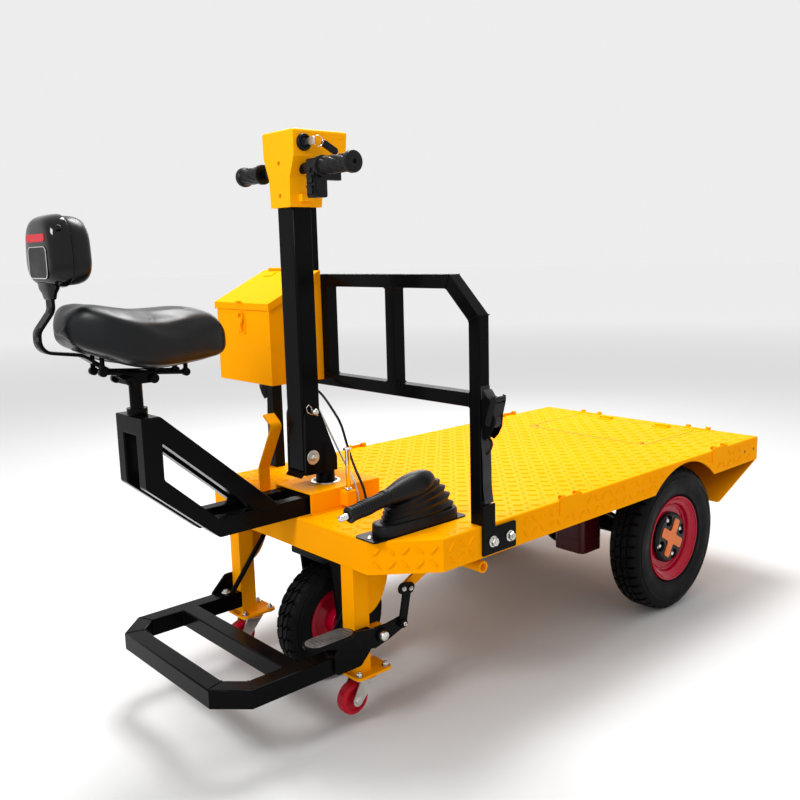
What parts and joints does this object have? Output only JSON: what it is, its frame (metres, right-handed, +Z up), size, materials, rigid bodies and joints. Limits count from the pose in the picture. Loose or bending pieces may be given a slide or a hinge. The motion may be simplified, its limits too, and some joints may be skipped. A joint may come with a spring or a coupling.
{
  "type": "electric flatbed cart",
  "caption": "Ride-on electric flatbed cart with saddle, handlebar column, load guard, toolbox, hatch, steered front wheel, sprung rear wheels and anti-tip casters.",
  "frame": {"origin": "middle of the cart's overall length and width, on the floor", "axes": "+Z up, +X forwards towards the cargo end that the rider faces, +Y to the rider's left"},
  "size_m": [1.946, 0.878, 1.256],
  "materials": {
    "yellow_paint": "gloss powder coat",
    "black_paint": "gloss powder coat",
    "red_paint": "gloss paint",
    "tyre_rubber": "matte with block tread",
    "zinc": "zinc plated",
    "chrome": "polished",
    "yellow_plastic": "moulded satin",
    "black_plastic": "moulded",
    "shell_plastic": "high gloss",
    "leather": "fine grain",
    "rubber": "matte",
    "webbing": "woven webbing",
    "maroon_plastic": "moulded",
    "grey_rubber": "satin",
    "red_wheel": "cast polyurethane",
    "orange_plastic": "moulded"
  },
  "bodies": {
    "chassis": {"deck": "yellow_paint", "under_frame": "black_paint", "battery_well": "yellow_paint", "battery": "black_plastic", "tail_plate": "yellow_paint", "caster_legs": "yellow_paint", "foot_frame": "black_paint", "foot_stays": "black_paint", "steering_box": "yellow_paint", "column_hook": "yellow_paint", "head_tube": "yellow_paint", "rear_axle": "black_paint", "leaf_springs": "black_paint", "guard_frame": "black_paint", "toolbox": "yellow_paint", "seat_frame": "black_paint", "seat_post": "black_paint", "saddle": "leather", "backrest_shell": "shell_plastic", "backrest_pad": "leather", "backrest_bracket": "black_paint", "lock_pin": "chrome", "brake_pedal": "black_paint", "brake_link": "black_paint", "cross_shaft": "yellow_paint", "handbrake_base": "black_paint", "handbrake_lever": "rubber", "handbrake_boot": "rubber", "fence_hinges": "yellow_paint", "strap_ratchets": "webbing", "cable_black": "rubber", "cable_grey": "grey_rubber", "controller_case": "maroon_plastic"},
    "steering": {"steering_fork": "black_paint", "column_bracket": "black_paint", "steering_column": "black_paint", "head_cover": "yellow_plastic", "handlebar": "black_paint", "grips": "rubber", "switch_block": "black_plastic", "key_switch": "black_plastic"},
    "front_wheel": {"front_tyre": "tyre_rubber", "front_rim": "red_paint"},
    "toolbox_lid": {"toolbox_lid": "yellow_paint"},
    "hatch": {"hatch": "yellow_paint"},
    "rear_wheel_left": {"rear_tyre_left": "tyre_rubber", "rear_rim_left": "red_paint", "hub_cap_left": "black_plastic", "hub_insert_left": "orange_plastic"},
    "caster_left": {"caster_fork_left": "zinc"},
    "caster_roller_left": {"caster_wheel_left": "red_wheel"},
    "rear_wheel_right": {"rear_tyre_right": "tyre_rubber", "rear_rim_right": "red_paint", "hub_cap_right": "black_plastic", "hub_insert_right": "orange_plastic"},
    "caster_right": {"caster_fork_right": "zinc"},
    "caster_roller_right": {"caster_wheel_right": "red_wheel"}
  },
  "joints": [
    {"name": "steering", "type": "hinge", "parent": "chassis", "child": "steering", "pos_m": [-0.343, 0, 0.474], "axis": [0, 0, 1], "range_deg": [-45, 45]},
    {"name": "front_wheel_spin", "type": "hinge", "parent": "steering", "child": "front_wheel", "pos_m": [-0.343, 0, 0.14], "axis": [0, 1, 0], "continuous": true},
    {"name": "rear_wheel_left_spin", "type": "hinge", "parent": "chassis", "child": "rear_wheel_left", "pos_m": [0.563, 0.332, 0.2], "axis": [0, 1, 0], "continuous": true},
    {"name": "caster_left_swivel", "type": "hinge", "parent": "chassis", "child": "caster_left", "pos_m": [-0.425, 0.223, 0.1], "axis": [0, 0, 1], "continuous": true},
    {"name": "caster_left_spin", "type": "hinge", "parent": "caster_left", "child": "caster_roller_left", "pos_m": [-0.46, 0.223, 0.06], "axis": [0, 1, 0], "continuous": true},
    {"name": "rear_wheel_right_spin", "type": "hinge", "parent": "chassis", "child": "rear_wheel_right", "pos_m": [0.563, -0.332, 0.2], "axis": [0, 1, 0], "continuous": true},
    {"name": "caster_right_swivel", "type": "hinge", "parent": "chassis", "child": "caster_right", "pos_m": [-0.425, -0.223, 0.1], "axis": [0, 0, 1], "continuous": true},
    {"name": "caster_right_spin", "type": "hinge", "parent": "caster_right", "child": "caster_roller_right", "pos_m": [-0.46, -0.223, 0.06], "axis": [0, 1, 0], "continuous": true},
    {"name": "toolbox_lid_hinge", "type": "hinge", "parent": "chassis", "child": "toolbox_lid", "pos_m": [-0.241, 0.2475, 0.9603], "axis": [0, 1, 0], "range_deg": [0, 110]},
    {"name": "hatch_hinge", "type": "hinge", "parent": "chassis", "child": "hatch", "pos_m": [0.92, 0, 0.429], "axis": [0, 1, 0], "range_deg": [0, 100]}
  ]
}
